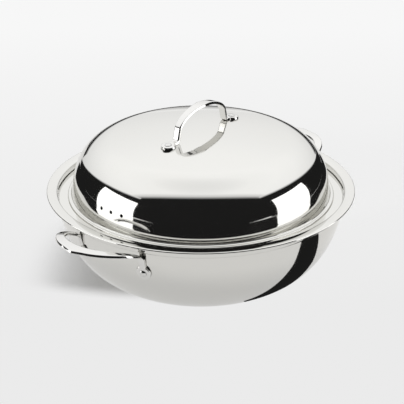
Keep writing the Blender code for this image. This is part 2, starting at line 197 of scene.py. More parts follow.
class WokSheetSizes(bpy.types.PropertyGroup):
    """Sizes of the wok's drawn sheet."""

    rim_radius: length("Rim radius", "Outer radius of the lip", BODY_BOX[1].x)
    rim_height: length("Rim height", "Height of the lip's crest over the table", BODY_BOX[1].z)
    sheet: length("Sheet", "Thickness of the sheet", 0.0025)
    base_radius: length("Base radius", "Radius of the flat base", 0.073)
    lip_width: length("Lip width", "Width of the flared lip", 0.0125)
    lip_crest_share: share("Lip crest", "Where across its width the lip is highest", 0.9)
    lip_bow: share("Lip bow", "Radius of the lip's arch over its width", 5.5)
    ledge_width: length("Ledge width", "Width of the ledge that carries the lid", 0.003)
    ledge_depth: length("Ledge depth", "Depth of the ledge below the lip's crest", 0.0097)
    ledge_fillet: length("Ledge fillet", "Radius of the bends at the ledge", 0.0015)
    belly_reach: length("Belly reach", "Pull of the wall's curve at the base", 0.074)
    belly_rise: length("Belly rise", "Pull of the wall's curve at the ledge", 0.023)


class LidSheetSizes(bpy.types.PropertyGroup):
    """Sizes of the lid's drawn sheet."""

    sheet: length("Sheet", "Thickness of the lid's sheet", 0.0012)
    edge_play: length("Edge play", "Gap between the lid's edge and the wok's mouth", 0.0009)
    height: length("Height", "Height of the lid from the ledge to the top of its crown", 0.0756)
    brim_width: length("Brim width", "Width of the flat brim and its step", 0.0116)
    heel_width: length("Heel width", "Width of the flat between the wall and the step", 0.0037)
    step_width: length("Step width", "Width of the slope of the step", 0.0008)
    step: length("Step", "Height of the step over the brim", 0.0022)
    bend: length("Bend", "Radius of the step's bends", 0.0008)
    foot_bend: length("Foot bend", "Radius of the bend at the foot of the wall", 0.0025)
    lean: angle("Lean", "Lean of the lid's wall", 9.5)
    shoulder: length("Shoulder", "Radius of the rounded shoulder", 0.053)
    crown: length("Crown", "Radius of the crown", 0.683)
    vent_radius: length("Vent radius", "Radius of a steam hole", 0.002)
    vent_height: length("Vent height", "Height of the steam holes over the brim", 0.024)
    vent_step: angle("Vent step", "Angle between neighbouring steam holes", 5.9)
    vent_azimuth: angle("Vent azimuth", "Direction of the middle steam hole", 176.4)
    vent_count: bpy.props.IntProperty(name="Vents", description="Number of steam holes", default=3, min=1)


class SideHandleSizes(bpy.types.PropertyGroup):
    """Sizes of a cast loop handle on the wok's wall."""

    pad_spread: angle("Pad spread", "Angle of a pad from the middle of the handle", 15.7)
    arm_spread: angle("Arm spread", "Angle at which an arm leaves the wall", 15.0)
    reach: length("Reach", "Distance of the middle of the grip beyond the lip", 0.0338)
    root_drop: length("Root drop", "Depth of an arm's root below the lip's crest", 0.0162)
    grip_rise: length("Grip rise", "Height of the grip over the lip's crest", 0.0017)
    arm_pull: length("Arm pull", "Pull of the loop's curve along the arm", 0.032)
    grip_pull: length("Grip pull", "Pull of the loop's curve along the grip", 0.0305)
    rise_power: share("Rise power", "How early the arm climbs", 3.1)
    elbow_share: share("Elbow share", "Part of the arm that the elbow takes up", 1 / 14)
    arm_width: length("Arm width", "Width of the strap at the elbow", 0.0074)
    grip_width: length("Grip width", "Width of the strap at the middle of the grip", 0.0126)
    thickness: length("Thickness", "Thickness of the strap", 0.0034)
    draft: angle("Draft", "Lean of the cast sides toward the outer face", 17)
    point: length("Point", "How far the soft point on the grip stands out", 0.0024)
    pad_radius: length("Pad radius", "Radius of a round pad", 0.0085)
    pad_drop: length("Pad drop", "Depth of a pad's centre below the root", 0.0205)
    leg: length("Leg", "Length of the leg above the pad's centre", 0.0146)
    elbow_pull: share("Elbow pull", "Tightness of the elbow between leg and arm", 0.6)


class LidHandleSizes(bpy.types.PropertyGroup):
    """Sizes of the cast arch on the lid."""

    height: length("Height", "Height of the arch over the crown", 0.0328)
    half_span: length("Half span", "Half the width of the arch at its feet", 0.047)
    bend_half_span: length("Knee half span", "Half the width of the arch at its knees", 0.0436)
    bend_height: length("Knee height", "Height of the knees over the feet", 0.0132)
    side_pull: length("Side pull", "Pull of the arch's curve at the knees", 0.0108)
    top_pull: length("Top pull", "Pull of the arch's curve at its top", 0.0188)
    leg_width: length("Leg width", "Width of the strap at the feet", 0.0084)
    grip_width: length("Grip width", "Width of the strap at the top", 0.0112)
    thickness: length("Thickness", "Thickness of the strap", 0.0036)
    draft: angle("Draft", "Lean of the cast sides toward the outer face", 17)
    point: length("Point", "How far the soft point at the top stands out", 0.0018)
    foot_reach: length("Foot reach", "Distance of a round foot's centre from the leg", 0.0118)
    foot_radius: length("Foot radius", "Radius of a round foot", 0.0084)
    foot_bend: length("Foot bend", "Radius of the bend between leg and foot", 0.0045)


class RivetSizes(bpy.types.PropertyGroup):
    """Sizes of the two kinds of rivet, and the play between neighbouring pieces."""

    shank: length("Shank", "Radius of a handle rivet's shank", 0.0024)
    head: length("Head", "Radius of a handle rivet's domed head", 0.0042)
    head_rise: length("Head rise", "Height of a handle rivet's domed head", 0.0016)
    tail: length("Tail", "Radius of a handle rivet's set head", 0.0048)
    tail_rise: length("Tail rise", "Height of a handle rivet's set head", 0.0014)
    lid_shank: length("Lid shank", "Radius of a lid rivet's shank", 0.0017)
    lid_head: length("Lid head", "Radius of a lid rivet's domed head", 0.004)
    lid_head_rise: length("Lid head rise", "Height of a lid rivet's domed head", 0.0012)
    lid_tail: length("Lid tail", "Radius of a lid rivet's set head", 0.0036)
    lid_tail_rise: length("Lid tail rise", "Height of a lid rivet's set head", 0.001)
    clear: length("Clearance", "Play between neighbouring pieces", 0.0003)
    bedding: length("Bedding", "How far a handle's back is trimmed by the sheet it sits on", 0.0007)


class SteelFinish(bpy.types.PropertyGroup):
    """Colours and polish of the three kinds of steel."""

    sheet_colour: colour("Sheet colour", "Tint of the rolled sheet", (0.72, 0.72, 0.70))
    cast_colour: colour("Casting colour", "Tint of the cast handles", (0.74, 0.74, 0.73))
    rivet_colour: colour("Rivet colour", "Tint of the rivets", (0.70, 0.70, 0.69))
    sheet_roughness: share("Sheet roughness", "Roughness of the mirror-polished sheet", 0.035)
    cast_roughness: share("Casting roughness", "Roughness of the hand-polished castings", 0.06)
    rivet_roughness: share("Rivet roughness", "Roughness of the rivets", 0.16)


class StudioSettings(bpy.types.PropertyGroup):
    """The floor, the lights and the camera."""

    floor_colour: colour("Floor colour", "Colour of the floor", (0.88, 0.88, 0.88))
    mirrored_colour: colour("Mirrored floor", "Floor colour that the steel mirrors", (0.88, 0.86, 0.83))
    floor_glow: share("Floor glow", "Brightness of the floor near the wok where it is lightened", 0.83)
    far_glow: share("Far glow", "Brightness of the floor far behind the wok", 0.93)
    floor_lift: share("Floor lift", "How far the floor's shadow is lightened where it is mirrored", 0.7)
    sky_strength: share("Sky strength", "Greatest brightness that the steel sees overhead", 1.5)
    fill_strength: share("Fill strength", "Even light from all round", 0.55)
    key_power: bpy.props.FloatProperty(
        name="Key power", description="Power of the key lamp", default=14.0, unit="POWER"
    )
    box_strength: share("Softbox strength", "Brightness of the two white softboxes", 1.9)
    mat_strength: share("Mat strength", "Brightness of the floor in front of the softboxes", 1.5)
    card_strength: share("Card strength", "Brightness of the dark cards", 0.014)
    azimuth: angle("Azimuth", "Direction of the camera round the wok", -52.5)
    elevation: angle("Elevation", "Height of the camera over the table", 24.6)
    distance: length("Distance", "Distance from the camera to the point it looks at", 1.35)
    lens: share("Lens", "Focal length in millimetres", 102.71)
    aim_height: length("Aim height", "Height of the point the camera looks at", 0.08416)
    aim_aside: length("Aim aside", "How far right of the axis the camera looks", 0.00132)


def level_way(angle):
    """Level direction at an angle from +X."""
    return Vector((math.cos(angle), math.sin(angle), 0))


def bezier(start, pull_start, pull_end, end, steps):
    """Points of a cubic curve, both ends included."""
    points = []
    for step in range(steps + 1):
        t = step / steps
        s = 1 - t
        points.append(s**3 * start + 3 * s * s * t * pull_start + 3 * s * t * t * pull_end + t**3 * end)
    return points


def arc(centre, radius, start, end, steps):
    """Points of an arc in a plane, both ends included."""
    points = []
    for step in range(steps + 1):
        turn = start + (end - start) * step / steps
        points.append(centre + radius * Vector((math.cos(turn), math.sin(turn))))
    return points


def straight(start, end, steps):
    """Points between two ends, both left out."""
    return [start.lerp(end, step / steps) for step in range(1, steps)]


def bend(before, corner, after, radius):
    """The arc that rounds the corner between two straight lines in a plane."""
    back = (before - corner).normalized()
    forward = (after - corner).normalized()
    half = back.angle(forward) / 2
    centre = corner + (back + forward).normalized() * radius / math.sin(half)
    first = corner + back * radius / math.tan(half) - centre
    last = corner + forward * radius / math.tan(half) - centre
    start = math.atan2(first.y, first.x)
    sweep = math.atan2(first.x * last.y - first.y * last.x, first.dot(last))
    return arc(centre, radius, start, start + sweep, BEND_STEPS)


def travel(line, index):
    """Direction of a line of points at one of them."""
    return (line[min(index + 1, len(line) - 1)] - line[max(index - 1, 0)]).normalized()


def offset(line, distance):
    """A plane line moved to the right of its direction of travel."""
    ways = [travel(line, index) for index in range(len(line))]
    return [point + Vector((way.y, -way.x)) * distance for point, way in zip(line, ways)]


def sheet_outline(line, thickness):
    """Closed outline of a sheet of even thickness along its middle line, from the axis to a rounded edge."""
    half = thickness / 2
    under = offset(line, half)
    over = offset(line, -half)
    under[0].x = 0.0
    over[0].x = 0.0
    last = line[-1] - line[-2]
    heading = math.atan2(last.y, last.x)
    rounding = arc(line[-1], half, heading - math.pi / 2, heading + math.pi / 2, EDGE_STEPS)
    return under[:-1] + rounding + over[-2::-1]


def bridge(bm, rows, closed=True):
    """Faces between neighbouring rows of vertices, which are rings where they are closed."""
    for low, high in zip(rows, rows[1:]):
        for index in range(len(low) if closed else len(low) - 1):
            follow = (index + 1) % len(low)
            bm.faces.new((low[index], low[follow], high[follow], high[index]))


def fan(bm, ring, tip):
    """Faces between a ring of vertices and a tip."""
    tip = bm.verts.new(tip)
    for index, vert in enumerate(ring):
        bm.faces.new((vert, ring[(index + 1) % len(ring)], tip))


def turned(outline, steps=TURN_STEPS):
    """Mesh of an outline turned about Z. Its first and last points are on the axis."""
    bm = bmesh.new()
    rings = []
    for point in outline[1:-1]:
        ring = []
        for step in range(steps):
            turn = 2 * math.pi * step / steps
            ring.append(bm.verts.new((point.x * math.cos(turn), point.x * math.sin(turn), point.y)))
        rings.append(ring)
    bridge(bm, rings)
    fan(bm, rings[0], (0, 0, outline[0].y))
    fan(bm, rings[-1], (0, 0, outline[-1].y))
    return bm


def smooth(mesh):
    """Smooth shading, with crisp edges where the mesh turns sharply."""
    mesh.shade_smooth()
    mesh.set_sharp_from_angle(angle=SHARP_ANGLE)


def link(name, data):
    """Links a mesh, a lamp or a camera to the scene as one object."""
    made = bpy.data.objects.new(name, data)
    bpy.context.scene.collection.objects.link(made)
    return made


def solid(name, bm):
    """Turns a bmesh into one smoothly shaded object with its faces outward."""
    mesh = bpy.data.meshes.new(name)
    bmesh.ops.recalc_face_normals(bm, faces=bm.faces)
    bm.to_mesh(mesh)
    bm.free()
    smooth(mesh)
    return link(name, mesh)


def cut_out(piece, *cutters):
    """Takes the cutters' shapes out of the piece and removes the cutters."""
    for cutter in cutters:
        boolean = piece.modifiers.new("cut", "BOOLEAN")
        boolean.operation = "DIFFERENCE"
        boolean.solver = "EXACT"
        boolean.object = cutter
    evaluated = piece.evaluated_get(bpy.context.evaluated_depsgraph_get())
    mesh = bpy.data.meshes.new_from_object(evaluated)
    piece.modifiers.clear()
    piece.data = mesh
    smooth(mesh)
    for cutter in cutters:
        bpy.data.objects.remove(cutter, do_unlink=True)


def dress(piece, body, slot, *nodes):
    """Gives a piece its steel, body and slot, and lets it stand for its CAD nodes."""
    piece.data.materials.clear()
    piece.data.materials.append(shared_material(STEELS[slot]))
    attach(piece, body)
    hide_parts(*nodes)


class WokShape:
    """The curves that all the pieces share, worked out from the sizes in the scene."""

    def __init__(self, scene):
        self.wok = scene.wok_sheet
        self.lid = scene.wok_lid
        self.handle = scene.wok_side_handle
        self.arch = scene.wok_lid_handle
        self.rivet = scene.wok_rivets
        self.mouth = self.wok.rim_radius - self.wok.lip_width
        self.ledge_top = self.wok.rim_height - self.wok.ledge_depth
        self.lid_seat = self.ledge_top + self.rivet.clear
        self.lid_top = self.lid_seat + self.lid.height
        self.lid_step_radius = self.mouth - self.lid.edge_play - self.lid.brim_width
        self.lid_foot_radius = self.lid_step_radius - self.lid.heel_width
        self.root_height = self.wok.rim_height - self.handle.root_drop
        self.pad_height = self.root_height - self.handle.pad_drop
        self.foot_centre = self.arch.half_span + self.arch.foot_reach

    def wall_line(self):
        """Middle of the wok's wall, from the edge of the flat base up to just below the ledge."""
        wok = self.wok
        start = Vector((wok.base_radius, wok.sheet / 2))
        top = self.ledge_top - wok.sheet / 2 - wok.ledge_fillet
        end = Vector((self.mouth + wok.sheet / 2 - wok.ledge_width, top))
        pull = end - Vector((0, wok.belly_rise))
        return bezier(start, start + Vector((wok.belly_reach, 0)), pull, end, WALL_STEPS)

    def body_line(self):
        """Middle of the wok's sheet, from the centre of the base to the edge of the lip."""
        wok = self.wok
        half = wok.sheet / 2
        fillet = wok.ledge_fillet
        crest = self.mouth + wok.lip_width * wok.lip_crest_share
        lip_arc = wok.lip_width * wok.lip_bow
        wall = self.wall_line()
        step_radius = self.mouth + half
        inner_corner = Vector((wall[-1].x, self.ledge_top - half))
        outer_corner = Vector((step_radius, self.ledge_top - half))
        inner = bend(wall[-1], inner_corner, outer_corner, fillet)
        outer = bend(inner_corner, outer_corner, outer_corner + Vector((0, wok.sheet)), fillet)
        lip_centre = Vector((crest, wok.rim_height - half - lip_arc))
        aside = step_radius + fillet - crest
        above = math.sqrt((lip_arc - fillet) ** 2 - aside**2)
        meeting = math.atan2(above, aside)
        edge = math.acos((wok.rim_radius - half - crest) / lip_arc)
        shoulder = arc(lip_centre + Vector((aside, above)), fillet, math.pi, meeting, BEND_STEPS)
        lip = arc(lip_centre, lip_arc, meeting, edge, 2 * BEND_STEPS)
        centre = Vector((0, half))
        base = [centre] + straight(centre, wall[0], BEND_STEPS)
        rise = straight(outer[-1], shoulder[0], EDGE_STEPS)
        return base + wall[:-1] + inner + outer[1:] + rise + shoulder + lip[1:]

    def lid_line(self):
        """Middle of the lid's sheet, from the top of the crown to the edge of the brim."""
        lid = self.lid
        half = lid.sheet / 2
        brim = self.lid_seat + half
        foot = Vector((self.lid_foot_radius, brim + lid.step))
        rise = Vector((-math.sin(lid.lean), math.cos(lid.lean)))
        inward = Vector((-math.cos(lid.lean), -math.sin(lid.lean)))
        shoulder = lid.shoulder - half
        crown = lid.crown - half
        crown_centre = Vector((0, self.lid_top - lid.crown))
        start = foot + inward * shoulder - crown_centre
        along = start.dot(rise)
        climb = math.sqrt(along**2 - start.dot(start) + (crown - shoulder) ** 2) - along
        shoulder_centre = crown_centre + start + rise * climb
        meeting = math.atan2(shoulder_centre.y - crown_centre.y, shoulder_centre.x)
        top = arc(crown_centre, crown, math.pi / 2, meeting, CROWN_STEPS)
        side = arc(shoulder_centre, shoulder, meeting, lid.lean, SHOULDER_STEPS)
        step_top = Vector((self.lid_step_radius, brim + lid.step))
        step_foot = Vector((self.lid_step_radius + lid.step_width, brim))
        edge = Vector((self.mouth - lid.edge_play - half, brim))
        heel = bend(side[-1], foot, step_top, lid.foot_bend)
        wall = straight(side[-1], heel[0], CROWN_STEPS)
        upper = bend(foot, step_top, step_foot, lid.bend)
        lower = bend(step_top, step_foot, edge, lid.bend)
        flat = straight(lower[-1], edge, EDGE_STEPS)
        return top + side[1:] + wall + heel + upper + lower + flat + [edge]

    def outside_line(self):
        """Outside of the wok's wall, upward."""
        return offset(self.wall_line(), self.wok.sheet / 2)

    def wall_at(self, height):
        """Radius of the wok's outside at a height, and the lean of the wall there."""
        points = self.outside_line()
        for low, high in zip(points, points[1:]):
            if low.y <= height <= high.y:
                part = (height - low.y) / (high.y - low.y)
                return low.x + (high.x - low.x) * part, math.atan2(high.x - low.x, high.y - low.y)
        raise ValueError("that height is off the wok's wall")

    def crown_height(self, radius):
        """Height of the outside of the lid's crown at a radius."""
        return self.lid_top - self.lid.crown + math.sqrt(self.lid.crown**2 - radius**2)

    def pad_frame(self, side):
        """Point on the wok's wall under a pad's centre, the way up the wall there and the way out of it."""
        radius, lean = self.wall_at(self.pad_height)
        level = level_way(side * self.handle.pad_spread)
        up_wall = level * math.sin(lean) + UP * math.cos(lean)
        out = level * math.cos(lean) - UP * math.sin(lean)
        return level * radius + UP * self.pad_height, up_wall, out


def trimming_shape(outside, bottom, clear):
    """A solid inside a turned surface moved out by the clearance, which trims what stands on that surface."""
    moved = offset(outside, clear)
    top = [Vector((0, moved[-1].y))] if moved[-1].x > clear else []
    moved[-1].x = moved[-1].x if top else 0.0
    outline = [Vector((0, bottom)), Vector((moved[0].x, bottom))] + moved + top
    return solid("trim", turned(outline))


def section_ring():
    """The rounded section of a cast strap: shares across and up."""
    ring = []
    for index in range(SECTION_STEPS):
        turn = 2 * math.pi * (index + 0.5) / SECTION_STEPS
        c, s = math.cos(turn), math.sin(turn)
        across = math.copysign(abs(c) ** (2 / SECTION_POWER), c)
        up = math.copysign(abs(s) ** (2 / SECTION_POWER), s)
        ring.append((across, up))
    return ring


def strap(stations, draft):
    """Mesh swept through stations: a centre, half sizes as vectors sideways and up, and a facing.

    Facing 1 leans the sides in toward the upward face, -1 toward the face below it.
    """
    bm = bmesh.new()
    shape = section_ring()
    rings = []
    for centre, aside, up, facing in stations:
        lean = facing * math.tan(draft) * up.length / aside.length
        ring = []
        for across, rise in shape:
            ring.append(bm.verts.new(centre + aside * across * (1 - lean * rise) + up * rise))
        rings.append(ring)
    bridge(bm, rings)
    for end in (rings[0], rings[-1]):
        fan(bm, end, sum((vert.co for vert in end), Vector()) / len(end))
    return bm


def soft_point(size, index, middle, reach):
    """How far a soft point at the middle widens a strap to each side at a station."""
    return size / 2 * max(0.0, 1 - abs(index - middle) / reach) ** POINT_POWER


def disc_steps(radius, neck):
    """Distances along a round end and its half widths, from its tip to where it meets the neck."""
    sweep = math.pi - math.asin(min(1.0, neck / radius)) - DISC_TIP
    turns = [DISC_TIP + sweep * step / ROUND_STEPS for step in range(ROUND_STEPS + 1)]
    return [(-radius * math.cos(turn), radius * math.sin(turn)) for turn in turns]


def side_handle_half(shape):
    """Half of a side handle along +X, pad to mid grip: centre, level heading, half width and facing."""
    handle = shape.handle
    seat, up_wall, out = shape.pad_frame(1)
    leg_way = level_way(handle.pad_spread)
    neck = handle.arm_width / 2
    line = seat + out * (shape.rivet.clear + handle.thickness / 2 - shape.rivet.bedding)
    pad = disc_steps(handle.pad_radius, neck)
    leg = [(line + up_wall * along, leg_way, width, -1) for along, width in pad]
    leg_top = line + up_wall * handle.leg

    arm_way = level_way(handle.arm_spread)
    root = arm_way * shape.wall_at(shape.root_height)[0]
    crest = Vector((shape.wok.rim_radius + handle.reach, 0, 0))
    grip_pull = crest + Vector((0, handle.grip_pull, 0))
    plan = bezier(root, root + arm_way * handle.arm_pull, grip_pull, crest, GRIP_STEPS)
    plan.append(Vector((plan[-2].x, -plan[-2].y, 0)))
    climb = handle.grip_rise + handle.root_drop
    grip = []
    for index in range(round(handle.elbow_share * GRIP_STEPS), GRIP_STEPS + 1):
        t = index / GRIP_STEPS
        height = shape.root_height - handle.thickness / 2 + climb * (1 - (1 - t) ** handle.rise_power)
        heading = (plan[index + 1] - plan[index - 1]).normalized()
        width = handle.arm_width + (handle.grip_width - handle.arm_width) * t
        grip.append((plan[index] + UP * height, heading, width / 2, 1))

    first, second = grip[0][0], grip[1][0]
    pull = (first - leg_top).length * handle.elbow_pull
    arriving = (second - first).normalized()
    turn = bezier(leg_top, leg_top + up_wall * pull, first - arriving * pull, first, ELBOW_STEPS)
    leg += [(point, leg_way, neck, -1) for point in straight(leg[-1][0], leg_top, EDGE_STEPS // 2)]
    elbow = [(point, leg_way, neck, 2 * step / ELBOW_STEPS - 1) for step, point in enumerate(turn[:-1])]
    return leg + elbow + grip


def side_handle_mesh(shape):
    """Mesh of a side handle that points along +X. Its outer edge comes to a soft point at mid grip."""
    handle = shape.handle
    whole = side_handle_half(shape)
    middle = len(whole) - 1
    for centre, heading, width, facing in whole[-2::-1]:
        place = Vector((centre.x, -centre.y, centre.z))
        whole.append((place, Vector((-heading.x, heading.y, 0)), width, facing))
    line = [station[0] for station in whole]
    stations = []
    for index, (centre, heading, width, facing) in enumerate(whole):
        aside = Vector((heading.y, -heading.x, 0))
        up = aside.cross(travel(line, index)).normalized()
        point = soft_point(handle.point, index, middle, GRIP_STEPS * GRIP_POINT_SHARE)
        stations.append((centre - aside * point, aside * (width + point), up * handle.thickness / 2, facing))
    return strap(stations, handle.draft)


def arch_mesh(shape):
    """Mesh of the lid's arch and its two feet, in the XZ plane."""
    arch = shape.arch
    half_thick = arch.thickness / 2
    rest = shape.rivet.clear + half_thick - shape.rivet.bedding
    base = Vector((arch.half_span - half_thick, shape.crown_height(arch.half_span) + rest))
    knee = Vector((arch.bend_half_span - half_thick, base.y + arch.bend_height))
    top = Vector((0, shape.lid_top + arch.height - half_thick))
    foot = []
    for along, width in disc_steps(arch.foot_radius, arch.leg_width / 2):
        reach = shape.foot_centre - along
        foot.append((Vector((reach, shape.crown_height(reach) + rest)), width))
    heel = bend(foot[-1][0], base, knee, arch.foot_bend)
    leg_way = (knee - base).normalized()
    pull = top + Vector((arch.top_pull, 0))
    crown = bezier(knee, knee + leg_way * arch.side_pull, pull, top, ARCH_STEPS)
    narrow, wide = arch.leg_width / 2, arch.grip_width / 2
    neck = straight(foot[-1][0], heel[0], EDGE_STEPS // 2)
    whole = foot + [(point, narrow) for point in neck + heel + straight(heel[-1], knee, EDGE_STEPS)]
    whole += [(point, narrow + (wide - narrow) * step / ARCH_STEPS) for step, point in enumerate(crown)]
    middle = len(whole) - 1
    whole += [(Vector((-point.x, point.y)), width) for point, width in whole[-2::-1]]
    line = [station[0] for station in whole]
    stations = []
    for index, (point, width) in enumerate(whole):
        along = travel(line, index)
        up = Vector((along.y, 0, -along.x))
        width += soft_point(arch.point, index, middle, ARCH_STEPS * ARCH_POINT_SHARE)
        stations.append((Vector((point.x, 0, point.y)), Vector((0, width, 0)), up * half_thick, 1))
    return strap(stations, arch.draft)


def rivet_mesh(shank, head, head_rise, tail, tail_rise, stack, clear):
    """Mesh of a rivet along Z. Its head rests on the plane z = 0, its tail on the far side of the stack."""
    low = -stack - clear
    dome_radius = (head**2 + head_rise**2) / (2 * head_rise)
    lean = math.asin(head / dome_radius)
    dome_centre = Vector((0, clear + head_rise - dome_radius))
    dome = arc(dome_centre, dome_radius, math.pi / 2 - lean, math.pi / 2, DOME_STEPS)
    rounding = tail_rise / 2
    rounded = arc(Vector((tail - rounding, low - rounding)), rounding, -math.pi / 2, 0, EDGE_STEPS)
    shaft = [Vector((tail, low)), Vector((shank, low)), Vector((shank, clear))]
    return turned([Vector((0, low - tail_rise))] + rounded + shaft + dome, RIVET_STEPS)


def hole_cutter(radius, seat, way):
    """A cylinder through the seat, for a round hole."""
    bm = bmesh.new()
    bmesh.ops.create_cone(
        bm, cap_ends=True, segments=HOLE_STEPS, radius1=radius, radius2=radius, depth=2 * CUT_REACH
    )
    return stand(solid("hole", bm), seat, way)


def stand(made, seat, way):
    """Places an object made along Z so that it stands on the seat and points the given way."""
    turn = way.to_track_quat("Z", "Y").to_matrix().to_4x4()
    made.data.transform(Matrix.Translation(seat) @ turn)
    return made


def rivet_seats(shape):
    """Names, seats and directions of the four handle rivets on the wok's wall."""
    seats = []
    for label, turn in SIDES.items():
        spin = Matrix.Rotation(turn, 3, "Z")
        for side, end in ((1, "a"), (-1, "b")):
            seat, _, out = (spin @ vector for vector in shape.pad_frame(side))
            seats.append((f"{label}_{end}", seat, out))
    return seats


def lid_rivet_seats(shape):
    """Names, seats and directions of the two rivets on the lid's crown."""
    seats = []
    crown_centre = UP * (shape.lid_top - shape.lid.crown)
    for side, end in ((-1, "left"), (1, "right")):
        reach = side * shape.foot_centre
        seat = Vector((reach, 0, shape.crown_height(reach)))
        seats.append((end, seat, (seat - crown_centre).normalized()))
    return seats


def rivet_holes(shank, shape, seats):
    """Cutters for the rivets' holes on their seats."""
    return [hole_cutter(shank + shape.rivet.clear, seat, out) for _, seat, out in seats]


def add_rivets(prefix, kind, shape, seats, strap_sizes, sheet_sizes):
    """Rivets of one kind through a strap and a sheet, one on each seat, with the names of the seats."""
    parts = ("shank", "head", "head_rise", "tail", "tail_rise")
    sizes = [getattr(shape.rivet, kind + part) for part in parts]
    face = shape.rivet.clear + strap_sizes.thickness - shape.rivet.bedding
    made = []
    for end, seat, out in seats:
        bm = rivet_mesh(*sizes, face + sheet_sizes.sheet, shape.rivet.clear)
        made.append((end, stand(solid(prefix + end, bm), seat + out * face, out)))
    return made


def arithmetic(operation):
    """Both forms of an operator: a wire with another value, and another value with a wire."""
    return (
        lambda wire, other: wire.math(operation, wire, other),
        lambda wire, other: wire.math(operation, other, wire),
    )


class Wire:
    """One output of a shader node. Arithmetic on it adds Math nodes."""

    def __init__(self, tree, socket):
        self.tree = tree
        self.socket = socket

    def math(self, operation, *values):
        """A Math node of that operation on the values."""
        return self.tree.node("ShaderNodeMath", {"operation": operation}, dict(enumerate(values)))

    __add__, __radd__ = arithmetic("ADD")
    __sub__, __rsub__ = arithmetic("SUBTRACT")
    __mul__, __rmul__ = arithmetic("MULTIPLY")
    __truediv__, __rtruediv__ = arithmetic("DIVIDE")
    __pow__, __rpow__ = arithmetic("POWER")


class ShaderTree:
    """The nodes of one material or of the world."""

    def __init__(self, owner):
        owner.use_nodes = True
        self.tree = owner.node_tree
        self.tree.nodes.clear()

    def node(self, kind, settings=None, sockets=None, output=0):
        """Adds a node: its settings first, then the values or links of its sockets."""
        made = self.tree.nodes.new(kind)
        for name, value in (settings or {}).items():
            if name == "stops":
                self.set_stops(made.color_ramp.elements, value)
            else:
                setattr(made, name, value)
        for name, value in (sockets or {}).items():
            if isinstance(value, Wire):
                self.tree.links.new(value.socket, made.inputs[name])
            else:
                made.inputs[name].default_value = value
        return Wire(self, made.outputs[output])

    def set_stops(self, elements, stops):
        """Sets a ramp's stops: places and grey tones."""
        while len(elements) < len(stops):
            elements.new(1.0)
        for element, (place, tone) in zip(elements, stops):
            element.position = place
            element.color = (tone, tone, tone, 1.0)

    def ramp(self, value, *stops):
        """A value sent through a ramp of stops."""
        return self.node("ShaderNodeValToRGB", {"stops": stops}, {"Fac": value})

    def spread(self, value, start, end, shape="SMOOTHSTEP"):
        """A value sent from one place and result to another."""
        sockets = {"Value": value}
        sockets["From Min"], sockets["To Min"] = start
        sockets["From Max"], sockets["To Max"] = end
        return self.node("ShaderNodeMapRange", {"interpolation_type": shape}, sockets)

    def split(self, vector):
        """The three numbers of a vector."""
        made = self.node("ShaderNodeSeparateXYZ", None, {0: vector})
        return [Wire(self, output) for output in made.socket.node.outputs]

    def blend(self, factor, one, two):
        """A mix of two colours."""
        colours = {"Factor": factor, 6: one, 7: two}
        return self.node("ShaderNodeMix", {"data_type": "RGBA"}, colours, 2)

    def noise(self, place, scale, detail, **fourth):
        """Soft noise from 0 to 1 at a place, and at W where it is given."""
        sockets = {"Vector": place, "Scale": scale, "Detail": detail, **fourth}
        return self.node("ShaderNodeTexNoise", {"noise_dimensions": "4D" if fourth else "3D"}, sockets)

    def along(self, place, way):
        """How far a place lies along a direction."""
        return self.node("ShaderNodeVectorMath", {"operation": "DOT_PRODUCT"}, {0: place, 1: way}, "Value")

    def rays(self, *kinds):
        """One for rays of the named kinds, and zero for the others."""
        outputs = self.node("ShaderNodeLightPath").socket.node.outputs
        found, *others = [Wire(self, outputs[f"Is {kind} Ray"]) for kind in kinds]
        for other in others:
            found = found.math("MAXIMUM", found, other)
        return found

    def surface(self, shader, kind="ShaderNodeOutputMaterial"):
        """Sends a shader to the output."""
        self.tree.links.new(shader.socket, self.tree.nodes.new(kind).inputs["Surface"])


class Steel:
    """A bare steel: a material with textures that add to its roughness and to its relief in metres."""

    def __init__(self, name, roughness, part=1.0):
        """Starts with a part of the roughness. The textures add the rest."""
        self.material = bpy.data.materials.new(name)
        self.shader = ShaderTree(self.material)
        self.place = self.shader.node("ShaderNodeTexCoord", output="Object")
        self.roughness = roughness * part
        self.height = 0.0

    def add(self, texture, rough, relief):
        """Adds a texture to the roughness and the relief."""
        if rough:
            self.roughness = self.roughness + texture * rough
        if relief:
            self.height = self.height + texture * relief
        return texture

    def grain(self, scale, detail=2.0, rough=0.0, relief=0.0):
        """A soft texture of so many shapes per metre."""
        return self.add(self.shader.noise(self.place, scale, detail), rough, relief)

    def marks(self, scale, detail, start, full, rough):
        """Marks where a soft texture is strongest."""
        noise = self.shader.noise(self.place, scale, detail)
        return self.add(self.shader.ramp(noise, (start, 0.0), (full, 1.0)), rough, 0.0)

    def lines(self, fineness, rough, relief):
        """Fine lines that run round the axis, as turning and polishing leave them."""
        x, y, z = self.shader.split(self.place)
        radius = (x * x + y * y) ** 0.5
        level = {"X": x / radius * LINE_DRIFT, "Y": y / radius * LINE_DRIFT, "Z": radius * fineness}
        around = self.shader.node("ShaderNodeCombineXYZ", None, level)
        return self.add(self.shader.noise(around, scale=1.0, detail=3.0, W=z * fineness), rough, relief)

    def done(self, texture, one, two):
        """The material, with a base colour that goes from one tint to the other with a texture."""
        base = self.shader.blend(texture, (*one, 1.0), (*two, 1.0))
        relief = {"Height": self.height, "Distance": 1.0, "Strength": 1.0}
        normal = self.shader.node("ShaderNodeBump", None, relief)
        sockets = {"Base Color": base, "Metallic": 1.0, "Roughness": self.roughness, "Normal": normal}
        self.shader.surface(self.shader.node("ShaderNodeBsdfPrincipled", None, sockets))
        return self.material


def warmed(tint, warmth):
    """A tint with a little more red and less blue."""
    red, green, blue = tint
    return red * (1 + warmth), green, blue * (1 - warmth)


